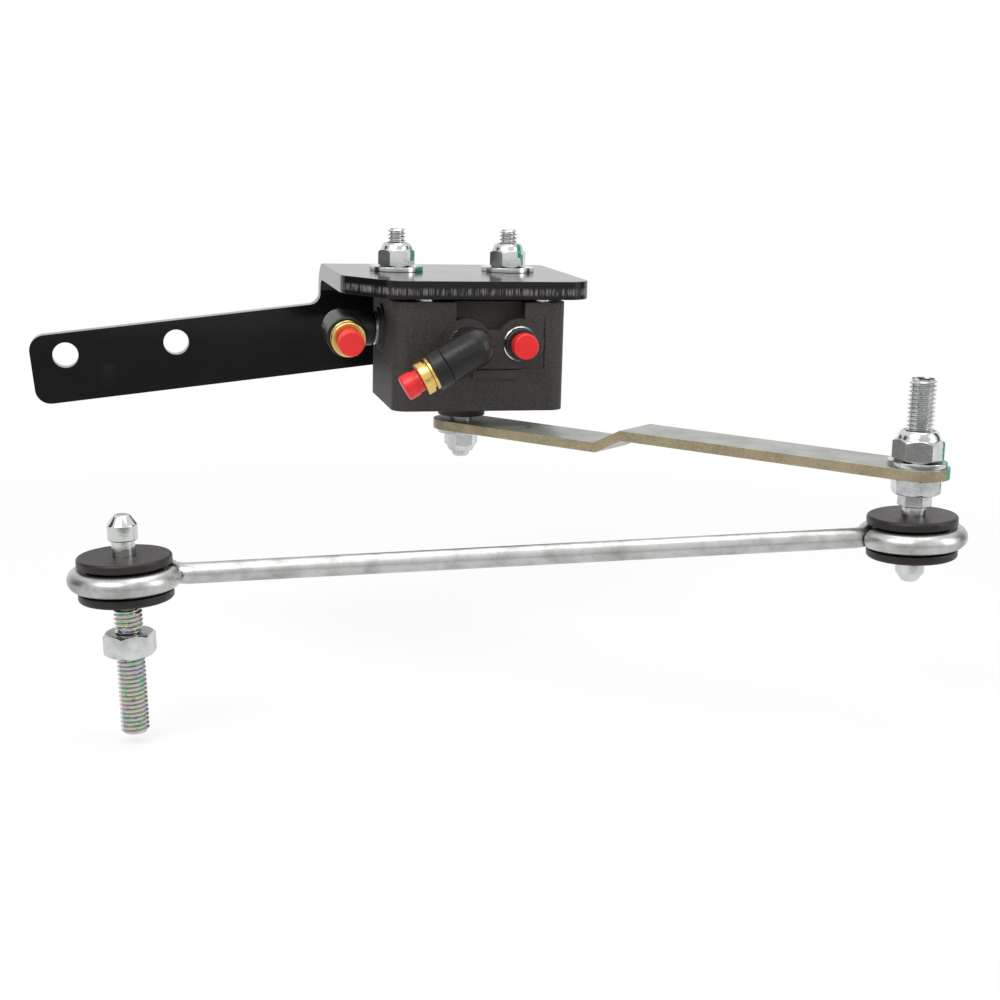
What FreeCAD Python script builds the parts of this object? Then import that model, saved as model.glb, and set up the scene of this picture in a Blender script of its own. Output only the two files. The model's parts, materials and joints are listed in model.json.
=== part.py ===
import FreeCAD, Part
import math
import os
import re
import Sketcher
from FreeCAD import Placement, Rotation, Vector

# An air suspension leveling valve on its bent mounting bracket, with lever and link.
# Heights are measured from the top of the bracket plate, and the other two
# directions from the midpoint between the two bolts on it: +X to the right,
# +Y to the back and +Z up. Every node is then moved together, so that the origin
# is the midpoint of the two arm holes on the back of the bracket.

sizes = {
    # bracket plate, bent down along its back edge
    "plate_left": 42.0,
    "plate_right": 39.3,
    "plate_front": 42.5,
    "plate_back": 28.2,
    "plate_thick": 6.0,
    "bend_inner": 4.5,
    "corner_cut_x": 14.6,
    "corner_cut_y": 21.1,
    "plate_round": 8.5,
    # arm of the bracket, in the plane of its flange
    "arm_slope": 6.7,
    "arm_width": 24.6,
    "arm_round": 5.5,
    "neck_round": 4.0,
    "arm_hole_x": 113.1,
    "arm_hole_z": 31.1,
    "arm_hole_spacing": 39.0,
    "arm_hole_radius": 4.5,
    "arm_hole_edge": 7.9,
    "arm_hole_end": 12.2,
    # bolts, washers and lock nuts on the plate
    "bolt_spacing": 39.6,
    "bolt_radius": 3.175,
    "bolt_clear": 0.2,
    "bolt_beyond": 4.95,
    "bolt_head_across": 11.1,
    "bolt_head_height": 4.0,
    "washer_radius": 9.3,
    "washer_thick": 1.65,
    "nut_across": 11.1,
    "nut_height": 7.9,
    # sleeves round the bolts, which the plate rests on
    "sleeve_radius": 4.8,
    "sleeve_proud": 1.0,
    # the two halves of the valve housing
    "left_of_bolt": 7.4,
    "right_of_bolt": 11.2,
    "front_wall": 3.5,
    "body_back": 7.5,
    "split_depth": 28.8,
    "cavity_floor": 4.8,
    "body_round": 5.0,
    "recess_left": 6.6,
    "recess_right": 16.6,
    "recess_deep": 4.5,
    "recess_above_port": 4.5,
    "screw_radius": 1.5,
    "screw_head_radius": 3.0,
    "screw_head_height": 0.9,
    "screw_inset_left": 11.2,
    "screw_inset_right": 7.5,
    "screw_inset_front": 5.0,
    "screw_inset_back": 4.0,
    "screw_back_x": 8.5,
    "screw_grip": 6.2,
    # three air ports
    "port_above_split": 8.3,
    "side_port_above_split": 10.6,
    "left_port_x": -3.0,
    "right_port_x": 15.0,
    "side_port_y": 14.5,
    "port_boss_radius": 8.2,
    "front_boss_proud": 0.8,
    "side_boss_proud": 1.8,
    "passage_radius": 1.6,
    "insert_wall": 0.9,
    "insert_length": 9.5,
    "insert_proud": 1.0,
    "collet_lip": 0.6,
    "elbow_collet_thick": 2.6,
    "collet_travel": 0.8,
    "collet_rim_thick": 1.2,
    "tube_radius": 3.2,
    "port_seal_section": 0.8,
    "fit_clear": 0.1,
    "plug_short": 2.8,
    "plug_neck": 3.8,
    "plug_neck_length": 2.0,
    "plug_head": 4.25,
    "plug_head_length": 4.1,
    # the two swivelling elbows
    "elbow_reach": 12.0,
    "head_step": 0.4,
    "stem_gap": 1.0,
    "sleeve_step": 0.35,
    "sleeve_wall": 0.95,
    "elbow_sleeve_start": 11.2,
    "sleeve_length": 4.6,
    "cartridge_wall": 0.9,
    "cartridge_proud": 1.0,
    "front_elbow_drop": 29.7,
    "side_elbow_drop": 5.5,
    # shaft, seals and discs inside the lower half
    "shaft_y": -20.5,
    "cavity_radius": 14.5,
    "stator_thick": 2.6,
    "rotor_radius": 10.5,
    "rotor_thick": 2.6,
    "spring_space": 2.4,
    "disc_gap": 0.05,
    "hole_circle": 7.5,
    "left_hole_angle": 250.0,
    "right_hole_angle": 330.0,
    "side_hole_angle": 170.0,
    "flange_radius": 9.0,
    "flange_thick": 1.6,
    "flange_clear": 0.25,
    "dog_radius": 1.2,
    "dog_offset": 7.0,
    "shaft_radius": 4.0,
    "shaft_clear": 0.05,
    "bush_wall": 1.5,
    "bush_length": 6.0,
    "seal_section": 1.0,
    "boss_radius": 8.0,
    "bush_cover": 0.9,
    "seal_inset": 0.5,
    "exhaust_inset": 0.2,
    "exhaust_radius": 2.9,
    # lever, clamped on two flats of the shaft
    "lever_gap": 1.5,
    "lever_thick": 3.2,
    "lever_half_width": 9.55,
    "lever_length": 165.4,
    "lever_yaw": -48.4,
    "jog_start": 60.0,
    "jog_run": 9.5,
    "jog_rise": 4.9,
    "lever_hole": 26.4,
    "lever_hole_radius": 2.45,
    "flat_width": 5.0,
    "shaft_thread": 3.0,
    "shaft_nut_across": 10.0,
    "shaft_nut_height": 6.2,
    "shaft_washer_radius": 8.0,
    "shaft_washer_thick": 1.5,
    "shaft_beyond": 2.0,
    # studs, 8 mm thread, with a pin that snaps through a rubber bushing
    "stud_radius": 4.0,
    "thread_height": 0.4,
    "stud_above_lever": 25.6,
    "stud_nut_across": 13.0,
    "stud_nut_height": 8.8,
    "stud_washer_radius": 8.6,
    "stud_washer_thick": 1.65,
    "jam_nut_height": 5.0,
    "stud_hex_across": 8.7,
    "stud_hex_height": 3.7,
    "pin_radius": 3.3,
    "pin_head_over": 0.9,
    "pin_head_length": 7.2,
    "pin_head_chamfer": 2.8,
    "collar_over": 0.2,
    "stud_collar": 2.3,
    "bushing_gap": 0.3,
    "axle_pin_free": 4.2,
    "axle_collar": 2.0,
    "axle_thread_end": 45.0,
    "axle_nut_height": 6.5,
    "axle_nut_low": 22.3,
    # link rod with an eye at each end, and the rubber in the eyes
    "rod_radius": 3.0,
    "eye_radius": 13.0,
    "eye_bend": 6.0,
    "eye_gap_angle": 12.0,
    "link_length": 226.8,
    "link_yaw": 174.8,
    "link_slope": 2.65,
    "bushing_radius": 13.2,
    "bushing_half": 6.2,
    "bushing_rim": 2.5,
    "groove_clear": 0.1,
}

# Places and sizes that follow from the ones above.
derived = {
    "bolt_end": "washer_thick + nut_height + bolt_beyond",
    "body_left": "bolt_spacing / 2 + left_of_bolt",
    "body_right": "bolt_spacing / 2 + right_of_bolt",
    "housing_seal_radius": "cavity_radius + seal_section + seal_inset",
    "body_front": "housing_seal_radius + seal_section + front_wall - shaft_y",
    "screw_left": "body_left - screw_inset_left",
    "screw_right": "body_right - screw_inset_right",
    "screw_front": "body_front - screw_inset_front",
    "screw_back": "body_back - screw_inset_back",
    "screw_length": "split_depth - plate_thick - sleeve_proud + screw_grip",
    "port_depth": "split_depth - port_above_split",
    "side_port_depth": "split_depth - side_port_above_split",
    "recess_low": "port_depth - recess_above_port",
    # the discs, the spring and the flange are stacked in the cavity
    "cavity_depth": "split_depth + stator_thick + disc_gap + rotor_thick + spring_space"
                    " + flange_thick + flange_clear",
    "cover_depth": "cavity_depth + cavity_floor",
    "exhaust_offset": "cavity_radius - exhaust_radius - exhaust_inset",
    "boss_bottom": "cavity_depth + 2 * seal_section + bush_length + bush_cover",
    "lever_top": "boss_bottom + lever_gap",
    "shaft_end": "lever_top + lever_thick + shaft_washer_thick + shaft_nut_height + shaft_beyond",
    "jog_end": "jog_start + jog_run",
    "eye_below_lever": "lever_thick + jam_nut_height + stud_hex_height + stud_collar + bushing_gap"
                       " + bushing_half",
    "nut_core_radius": "stud_radius - thread_height",
    "pin_head_radius": "pin_radius + pin_head_over",
    "collar_radius": "pin_radius + collar_over",
    # the tube goes through its seal, the release ring lies round it, and the insert round both
    "insert_bore": "tube_radius + 2 * port_seal_section + fit_clear",
    "insert_radius": "insert_bore + insert_wall",
    "collet_radius": "insert_bore - fit_clear",
    "collet_rim": "collet_radius + collet_lip",
    "cartridge_radius": "collet_radius + fit_clear + cartridge_wall",
    "elbow_collet_rim": "cartridge_radius",
    "elbow_stem": "insert_bore - fit_clear",
    "stem_length": "insert_length - insert_proud - 2 - stem_gap",
    "elbow_sleeve": "cartridge_radius + sleeve_wall",
    "elbow_barrel": "elbow_sleeve - sleeve_step",
    "elbow_head": "elbow_barrel - head_step",
    "elbow_sleeve_end": "elbow_sleeve_start + sleeve_length",
    "plug_depth": "elbow_sleeve_end - plug_short",
}

doc = FreeCAD.newDocument("LevelingValve")
sheet = doc.addObject("Spreadsheet::Sheet", "Sizes")
for row, (alias, value) in enumerate({**sizes, **derived}.items(), start=1):
    sheet.set(f"A{row}", alias)
    sheet.set(f"B{row}", f"={value}")
    sheet.setAlias(f"B{row}", alias)
doc.recompute()

nodes = []


# A formula in the sheet's words, as an expression for another object.
def bound(text):
    def sheetWord(found):
        word = found.group()
        return "Sizes." + word if word in sizes or word in derived else word
    return re.sub(r"[a-z]\w*", sheetWord, str(text))


# The same formula as a number.
def number(text):
    result = sheet.evalExpression(str(text))
    return float(getattr(result, "Value", result))


def point(x, y, z):
    return Vector(number(x), number(y), number(z))


# Places an object by formulas, and turns it by a fixed rotation.
def seat(part, x=0, y=0, z=0, turn=Rotation()):
    part.Placement = Placement(point(x, y, z), turn)
    for axis, text in zip("xyz", (x, y, z)):
        part.setExpression(f"Placement.Base.{axis}", bound(text))
    return part


# The plate's own directions, and the move from them to the part's origin.
toFront = Rotation(Vector(0, 0, 1), Vector(0, -1, 0))
toLeft = Rotation(Vector(0, 0, 1), Vector(-1, 0, 0))
downward = Rotation(Vector(1, 0, 0), 180)
origin = ("arm_hole_x", "-plate_back - bend_inner - plate_thick", "arm_hole_z")


# Makes an object a node of the part, at formulas in the plate's directions.
def node(part, label, x=0, y=0, z=0, turn=Rotation()):
    part.Label = label
    nodes.append(part)
    return seat(part, *(f"{move} + ({text})" for move, text in zip(origin, (x, y, z))), turn)


# Makes an object a node at a placement given in the plate's directions.
def nodeAt(part, label, place):
    part.Label = label
    nodes.append(part)
    part.Placement = Placement(point(*origin), Rotation()) * place
    return part


def originPlane(body, role):
    return next(item for item in body.Origin.OriginFeatures if item.Role == role)


# A closed outline of straight edges, each corner tied to the sheet.
def outline(body, role, corners):
    sketch = body.newObject("Sketcher::SketchObject", body.Name + "_outline")
    sketch.AttachmentSupport = (originPlane(body, role), "")
    sketch.MapMode = "FlatFace"
    places = [point(x, y, 0) for x, y in corners]
    count = len(places)
    for index in range(count):
        sketch.addGeometry(Part.LineSegment(places[index], places[(index + 1) % count]))
    for index in range(count):
        sketch.addConstraint(Sketcher.Constraint("Coincident", index, 2, (index + 1) % count, 1))
    for index, (corner, place) in enumerate(zip(corners, places)):
        for way, text, value in (("DistanceX", corner[0], place.x), ("DistanceY", corner[1], place.y)):
            item = sketch.addConstraint(Sketcher.Constraint(way, -1, 1, index, 1, value))
            sketch.setExpression(f"Constraints[{item}]", bound(text))
    return sketch


# A round piece: radius and height of each corner of half its section.
def turned(name, corners):
    body = doc.addObject("PartDesign::Body", name)
    sketch = outline(body, "XZ_Plane", corners)
    turn = body.newObject("PartDesign::Revolution", name + "_turn")
    turn.Profile = sketch
    turn.ReferenceAxis = (sketch, ["V_Axis"])
    turn.Angle = 360
    return body


# A flat piece of one thickness. Its sides may then be rounded at named corners.
def slab(name, role, corners, thick, rounds=()):
    body = doc.addObject("PartDesign::Body", name)
    sketch = outline(body, role, corners)
    pad = body.newObject("PartDesign::Pad", name + "_pad")
    pad.Profile = sketch
    pad.setExpression("Length", bound(thick))
    doc.recompute()
    last = pad
    for radius, spots in rounds:
        last = roundSides(body, last, sketch, radius, spots)
    return body


# Rounds the edges that stand on a sketch at the given corners.
def roundSides(body, feature, sketch, radius, spots):
    back = sketch.Placement.inverse()
    wanted = [point(x, y, 0) for x, y in spots]
    names = []
    for index, edge in enumerate(feature.Shape.Edges, start=1):
        ends = [back.multVec(vertex.Point) for vertex in edge.Vertexes]
        flat = [Vector(end.x, end.y, 0) for end in ends]
        if len(ends) == 2 and flat[0].distanceToPoint(flat[1]) < 1e-5:
            if any(flat[0].distanceToPoint(spot) < 1e-4 for spot in wanted):
                names.append(f"Edge{index}")
    fillet = body.newObject("PartDesign::Fillet", body.Name + "_round")
    fillet.Base = (feature, names)
    fillet.setExpression("Radius", bound(radius))
    doc.recompute()
    return fillet


def cylinder(name, radius, height, x=0, y=0, z=0, turn=Rotation()):
    rod = doc.addObject("Part::Cylinder", name)
    rod.setExpression("Radius", bound(radius))
    rod.setExpression("Height", bound(height))
    return seat(rod, x, y, z, turn)


def block(name, length, width, height, x=0, y=0, z=0, turn=Rotation()):
    box = doc.addObject("Part::Box", name)
    box.setExpression("Length", bound(length))
    box.setExpression("Width", bound(width))
    box.setExpression("Height", bound(height))
    return seat(box, x, y, z, turn)


def joined(name, parts):
    fuse = doc.addObject("Part::MultiFuse", name)
    fuse.Shapes = parts
    fuse.Refine = True
    return fuse


def cut(name, base, tools):
    result = doc.addObject("Part::Cut", name)
    result.Base = base
    result.Tool = tools[0] if len(tools) == 1 else joined(name + "_tools", tools)
    result.Refine = True
    return result


# A round blank with six flats: a nut, or the hexagon on a stud.
def hexed(name, blank, across, low, height):
    prism = doc.addObject("Part::Prism", name + "_flats")
    prism.Polygon = 6
    prism.setExpression("Circumradius", bound(f"({across}) / 2 / cos(30)"))
    prism.setExpression("Height", bound(height))
    seat(prism, 0, 0, low)
    common = doc.addObject("Part::Common", name)
    common.Base = blank
    common.Tool = prism
    return common


def group(name, parts):
    together = doc.addObject("Part::Compound", name)
    together.Links = parts
    return together


# A rubber ring of four-lobed stock, drawn with its corners on a circle round its own middle.
def sealRing(name, radius, section):
    inner, outer = f"{radius} - ({section})", f"{radius} + {section}"
    flat = f"({section}) * 0.45"
    return turned(name, [
        (inner, f"-({flat})"), (f"{radius} - ({flat})", f"-({section})"),
        (f"{radius} + {flat}", f"-({section})"), (outer, f"-({flat})"), (outer, flat),
        (f"{radius} + {flat}", section), (f"{radius} - ({flat})", section), (inner, flat)])


# Nuts, screws and washers

def washer(name, radius, bore, thick):
    return turned(name, [(bore, 0), (radius, 0), (radius, thick), (bore, thick)])


# A lock nut stands on its flat face, and is domed over its nylon ring.
def lockNut(name, across, height, bore):
    corner = f"({across}) / 2 / cos(30)"
    blank = turned(name + "_blank", [
        (bore, 0), (f"({across}) / 2 - 0.1", 0), (corner, 0.6), (corner, f"({height}) * 0.62"),
        (f"({across}) * 0.49", f"({height}) * 0.72"), (f"({across}) * 0.46", f"({height}) * 0.86"),
        (f"({across}) * 0.42", f"({height}) * 0.96"), (f"{bore} + 1.1", height), (f"{bore} + 0.7", height),
        (f"{bore} + 0.7", f"({height}) * 0.72"), (bore, f"({height}) * 0.72")])
    return hexed(name, blank, across, 0, height)


def nylonRing(name, height, bore):
    return turned(name, [
        (bore, f"({height}) * 0.72"), (f"{bore} + 0.7", f"({height}) * 0.72"),
        (f"{bore} + 0.7", f"({height}) - 0.3"), (bore, f"({height}) - 0.3")])


def plainNut(name, across, height, bore):
    corner = f"({across}) / 2 / cos(30)"
    blank = turned(name + "_blank", [
        (bore, 0), (f"({across}) / 2 - 0.1", 0), (corner, 0.7), (corner, f"({height}) - 0.7"),
        (f"({across}) / 2 - 0.1", height), (bore, height)])
    return hexed(name, blank, across, 0, height)


# Bracket

def mountingBracket():
    plateBack = slab("bracket_plate", "XY_Plane", [
        ("-plate_left", "plate_back"), ("-plate_left", "-plate_front + corner_cut_y"),
        ("-plate_left + corner_cut_x", "-plate_front"), ("plate_right", "-plate_front"),
        ("plate_right", "plate_back")], "plate_thick", [
        ("plate_round", [("-plate_left", "-plate_front + corner_cut_y"),
                         ("-plate_left + corner_cut_x", "-plate_front"), ("plate_right", "-plate_front")])])
    seat(plateBack, 0, 0, "-plate_thick")
    bolts = [cylinder(f"plate_hole_{side}", "bolt_radius + bolt_clear", "plate_thick",
                      f"{side} * bolt_spacing / 2", 0, "-plate_thick") for side in (-1, 1)]
    outer = cylinder("bend_outer", "bend_inner + plate_thick", "plate_left + plate_right",
                     "-plate_left", "plate_back", "-bend_inner - plate_thick",
                     Rotation(Vector(0, 1, 0), Vector(0, 0, 1), Vector(1, 0, 0), "ZXY"))
    outer.Angle = 90
    inner = cylinder("bend_hollow", "bend_inner", "plate_left + plate_right",
                     "-plate_left", "plate_back", "-bend_inner - plate_thick",
                     Rotation(Vector(0, 1, 0), Vector(0, 0, 1), Vector(1, 0, 0), "ZXY"))
    bend = cut("bracket_bend", outer, [inner])
    bracket = cut("bracket", joined("bracket_sheet", [plateBack, bend, bracketFlange()]), bolts + armHoles())
    return node(bracket, "mounting_bracket")


# The flange goes down from the bend and runs on to the left as the sloping arm.
def bracketFlange():
    slope = "tan(arm_slope)"
    tall = "(arm_hole_edge / cos(arm_slope))"
    low = "((arm_width - arm_hole_edge) / cos(arm_slope))"
    reach = "(arm_hole_spacing / 2 + arm_hole_end)"
    endTop = (f"-arm_hole_x - {reach} * cos(arm_slope) - arm_hole_edge * sin(arm_slope)",
              f"-arm_hole_z - {reach} * sin(arm_slope) + arm_hole_edge * cos(arm_slope)")
    endLow = (f"-arm_hole_x - {reach} * cos(arm_slope) + (arm_width - arm_hole_edge) * sin(arm_slope)",
              f"-arm_hole_z - {reach} * sin(arm_slope) - (arm_width - arm_hole_edge) * cos(arm_slope)")
    neck = ("-plate_left", f"-arm_hole_z + {tall} + (arm_hole_x - plate_left) * {slope}")
    lowRight = ("plate_right", f"-arm_hole_z - {low} + (arm_hole_x + plate_right) * {slope}")
    top = "-bend_inner - plate_thick"
    flange = slab("bracket_flange", "XZ_Plane", [
        ("-plate_left", top), neck, endTop, endLow, lowRight, ("plate_right", top)], "plate_thick", [
        ("neck_round", [neck]), ("arm_round", [endTop, endLow, lowRight])])
    return seat(flange, 0, "plate_back + bend_inner + plate_thick", 0)


def armHoles():
    holes = []
    for side in (-1, 1):
        holes.append(cylinder(
            f"arm_hole_{side}", "arm_hole_radius", "plate_thick + 2",
            f"-arm_hole_x + {side} * arm_hole_spacing / 2 * cos(arm_slope)",
            "plate_back + bend_inner + plate_thick + 1",
            f"-arm_hole_z + {side} * arm_hole_spacing / 2 * sin(arm_slope)", toFront))
    return holes


# Bolts, sleeves, washers and nuts that clamp the valve under the plate

def plateFasteners():
    low = "(cover_depth - bolt_head_height)"
    bolts, sleeves, washers, nuts, rings = [], [], [], [], []
    for side in (-1, 1):
        x = f"{side} * bolt_spacing / 2"
        shank = turned(f"bolt_shank_{side}", [
            (0, f"-{low}"), ("bolt_radius", f"-{low}"), ("bolt_radius", "bolt_end - 0.8"),
            ("bolt_radius - 0.8", "bolt_end"), (0, "bolt_end")])
        head = doc.addObject("Part::Prism", f"bolt_head_{side}")
        head.Polygon = 6
        head.setExpression("Circumradius", bound("bolt_head_across / 2 / cos(30)"))
        head.setExpression("Height", bound("bolt_head_height"))
        seat(head, 0, 0, "-cover_depth")
        bolts.append(seat(joined(f"bolt_{side}", [shank, head]), x))
        tube = turned(f"sleeve_{side}", [
            ("bolt_radius + bolt_clear", f"-{low}"), ("sleeve_radius", f"-{low}"),
            ("sleeve_radius", "-plate_thick"), ("bolt_radius + bolt_clear", "-plate_thick")])
        sleeves.append(seat(tube, x))
        ring = washer(f"washer_{side}", "washer_radius", "bolt_radius + bolt_clear", "washer_thick")
        washers.append(seat(ring, x))
        nut = lockNut(f"nut_{side}", "nut_across", "nut_height", "bolt_radius")
        nuts.append(seat(nut, x, 0, "washer_thick"))
        lock = nylonRing(f"nut_ring_{side}", "nut_height", "bolt_radius")
        rings.append(seat(lock, x, 0, "washer_thick"))
    node(group("bolts", bolts), "body_bolts")
    node(group("sleeves", sleeves), "bolt_sleeves")
    node(group("washers", washers), "bolt_washers")
    node(group("nuts", nuts), "bolt_locknuts")
    node(group("nut_rings", rings), "bolt_nylon_rings")


# Upper half of the housing

# The corners of both halves as seen from above.
housingCorners = [("-body_left", "body_back"), ("-body_left", "-body_front"),
                  ("body_right", "-body_front"), ("body_right", "body_back")]
bodyTop = "plate_thick + sleeve_proud"
screwSpots = [("-screw_left", "-screw_front"), ("screw_right", "-screw_front"),
              ("-screw_back_x", "screw_back"), ("screw_back_x", "screw_back")]


def boltBores(name, low, high):
    return [cylinder(f"{name}_{side}", "sleeve_radius", f"({high}) - ({low})",
                     f"{side} * bolt_spacing / 2", 0, low) for side in (-1, 1)]


# Where a port's passage comes down on the disc, from the shaft's axis.
def holeSpot(angle):
    return f"hole_circle * cos({angle})", f"hole_circle * sin({angle})"


# The bore for a port's insert, and the slanting passage from it to a hole of the disc.
def portBores(name, x, y, turn, angle, depth="port_depth"):
    socket = cylinder(name + "_socket", "insert_radius", "insert_length", x, y, f"-{depth}", turn)
    spotX, spotY = holeSpot(angle)
    spotY = f"shaft_y + {spotY}"
    run = point(spotX, spotY, 0) - point(x, y, 0)
    passage = cylinder(name + "_passage", "passage_radius",
                       f"sqrt(({spotX} - ({x})) ^ 2 + ({spotY} - ({y})) ^ 2) + 0.9",
                       x, y, f"-{depth}", Rotation(Vector(0, 0, 1), run))
    down = cylinder(name + "_drop", "passage_radius - 0.2", f"split_depth - {depth}", spotX, spotY,
                    "-split_depth")
    return [socket, passage, down]


def valveBody():
    shell = slab("body_block", "XY_Plane", housingCorners, f"split_depth - ({bodyTop})",
                 [("body_round", housingCorners)])
    seat(shell, 0, 0, "-split_depth")
    recess = block("front_recess", "recess_right + recess_left", "recess_deep", f"recess_low - ({bodyTop})",
                   "-recess_left", "-body_front", "-recess_low")
    opened = cut("body_recessed", shell, [recess])
    pad = block("front_pad", "right_port_x - left_port_x", "recess_deep + front_boss_proud",
                "split_depth - recess_low", "left_port_x", "-body_front - front_boss_proud", "-split_depth")
    bosses = [frontBoss("left_boss", "left_port_x"), frontBoss("right_boss", "right_port_x"), pad, sideBoss()]
    inward = "insert_length - insert_proud"
    front = f"-body_front - front_boss_proud + {inward}"
    side = f"-body_left - side_boss_proud + {inward}"
    tools = portBores("left_port", "left_port_x", front, toFront, "left_hole_angle")
    tools += portBores("right_port", "right_port_x", front, toFront, "right_hole_angle")
    tools += portBores("side_port", side, "-side_port_y", toLeft, "side_hole_angle", "side_port_depth")
    tools.append(block("front_groove", 0.4, 0.8, "split_depth - recess_low + 4",
                       "right_port_x + port_boss_radius", "-body_front - 0.4", "-split_depth"))
    for index, (x, y) in enumerate(screwSpots):
        tools.append(cylinder(f"body_screw_hole_{index}", "screw_radius + bolt_clear",
                              f"split_depth - ({bodyTop})", x, y, "-split_depth"))
    tools += boltBores("body_bolt_bore", "-split_depth", f"-({bodyTop})")
    body = cut("body", joined("body_bossed", [opened] + bosses), tools)
    return node(body, "valve_body")


# A round boss on the front face, cut off at the split between the halves.
def frontBoss(name, x):
    tube = cylinder(name + "_round", "port_boss_radius", "recess_deep + front_boss_proud", x,
                    "-body_front + recess_deep", "-port_depth", toFront)
    below = block(name + "_below", "4 * port_boss_radius", "4 * recess_deep", "port_boss_radius",
                  f"{x} - 2 * port_boss_radius", "-body_front - 2 * recess_deep",
                  "-split_depth - port_boss_radius")
    return cut(name, tube, [below])


# The side boss has a stepped rim round its port.
def sideBoss():
    tube = turned("side_boss_round", [
        (0, 0), ("port_boss_radius", 0), ("port_boss_radius", "side_boss_proud - 1"),
        ("port_boss_radius - 1.2", "side_boss_proud - 1"), ("port_boss_radius - 1.2", "side_boss_proud"),
        (0, "side_boss_proud")])
    seat(tube, "-body_left", "-side_port_y", "-side_port_depth", toLeft)
    below = block("side_boss_below", "4 * side_boss_proud", "4 * port_boss_radius", "port_boss_radius",
                  "-body_left - 2 * side_boss_proud", "-side_port_y - 2 * port_boss_radius",
                  "-split_depth - port_boss_radius")
    return cut("side_boss", tube, [below])


# Lower half of the housing, with the cavity for the discs and the boss of the shaft

sealFloor = "cavity_depth + 2 * seal_section"
bushBottom = f"{sealFloor} + bush_length"
rotorLow = "split_depth + stator_thick + disc_gap + rotor_thick"


def lowerHousing():
    shell = slab("cover_block", "XY_Plane", housingCorners, "cover_depth - split_depth",
                  [("body_round", housingCorners)])
    seat(shell, 0, 0, "-cover_depth")
    boss = cylinder("cover_boss", "boss_radius", "boss_bottom - cover_depth", 0, "shaft_y", "-boss_bottom")
    lip = slab("cover_lip", "XZ_Plane", [
        ("left_port_x + 2", "-split_depth - 0.5"), ("left_port_x + 2", "-split_depth - 3.5"),
        ("right_port_x", "-split_depth - 3.5"), ("right_port_x", "-split_depth - 0.5")], "front_boss_proud + 1",
        [("2.5", [("right_port_x", "-split_depth - 3.5")])])
    seat(lip, 0, "-body_front + 1", 0)
    tools = [
        turned("cover_hollow", [
            (0, "-split_depth"), ("cavity_radius", "-split_depth"), ("cavity_radius", "-cavity_depth"),
            ("shaft_radius + 2 * seal_section + 0.05", "-cavity_depth"),
            ("shaft_radius + 2 * seal_section + 0.05", f"-({sealFloor})"),
            ("shaft_radius + shaft_clear + bush_wall", f"-({sealFloor})"),
            ("shaft_radius + shaft_clear + bush_wall", f"-({bushBottom})"),
            ("shaft_radius + 0.4", f"-({bushBottom})"), ("shaft_radius + 0.4", "-boss_bottom"),
            (0, "-boss_bottom")]),
        turned("seal_groove", [
            ("housing_seal_radius - seal_section", "-split_depth"),
            ("housing_seal_radius + seal_section", "-split_depth"),
            ("housing_seal_radius + seal_section", "-split_depth - 1.9 * seal_section"),
            ("housing_seal_radius - seal_section", "-split_depth - 1.9 * seal_section")]),
    ]
    for tool in tools:
        seat(tool, 0, "shaft_y", 0)
    tools.append(cylinder("exhaust_hole", "exhaust_radius - 1", "cover_depth - cavity_depth", 0,
                          "shaft_y + exhaust_offset", "-cover_depth"))
    tools.append(cylinder("exhaust_recess", "exhaust_radius", "1.5", 0, "shaft_y + exhaust_offset",
                          "-cover_depth"))
    tools += boltBores("cover_bolt_bore", "-cover_depth", "-split_depth")
    for side in (-1, 1):
        tools.append(cylinder(f"head_pocket_{side}", "bolt_head_across / 2 / cos(30) + 0.4", "bolt_head_height",
                              f"{side} * bolt_spacing / 2", 0, "-cover_depth"))
    for index, (x, y) in enumerate(screwSpots):
        tools.append(cylinder(f"cover_screw_hole_{index}", "screw_radius",
                              f"screw_length - split_depth + ({bodyTop}) + 0.5", x, y,
                              f"-({bodyTop}) - screw_length - 0.5"))
    cover = cut("cover", joined("cover_bossed", [shell, boss, lip]), tools)
    return node(cover, "lower_housing")


# The four screws that hold the halves together, with low heads under the plate.
def housingScrews():
    screws = []
    for index, (x, y) in enumerate(screwSpots):
        screw = turned(f"housing_screw_{index}", [
            (0, "-screw_length"), ("screw_radius", "-screw_length"), ("screw_radius", 0),
            ("screw_head_radius", 0), ("screw_head_radius", "screw_head_height"), (0, "screw_head_height")])
        screws.append(seat(screw, x, y, f"-({bodyTop})"))
    return node(group("screws", screws), "housing_screws")


# Discs, seals and bush round the shaft

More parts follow.
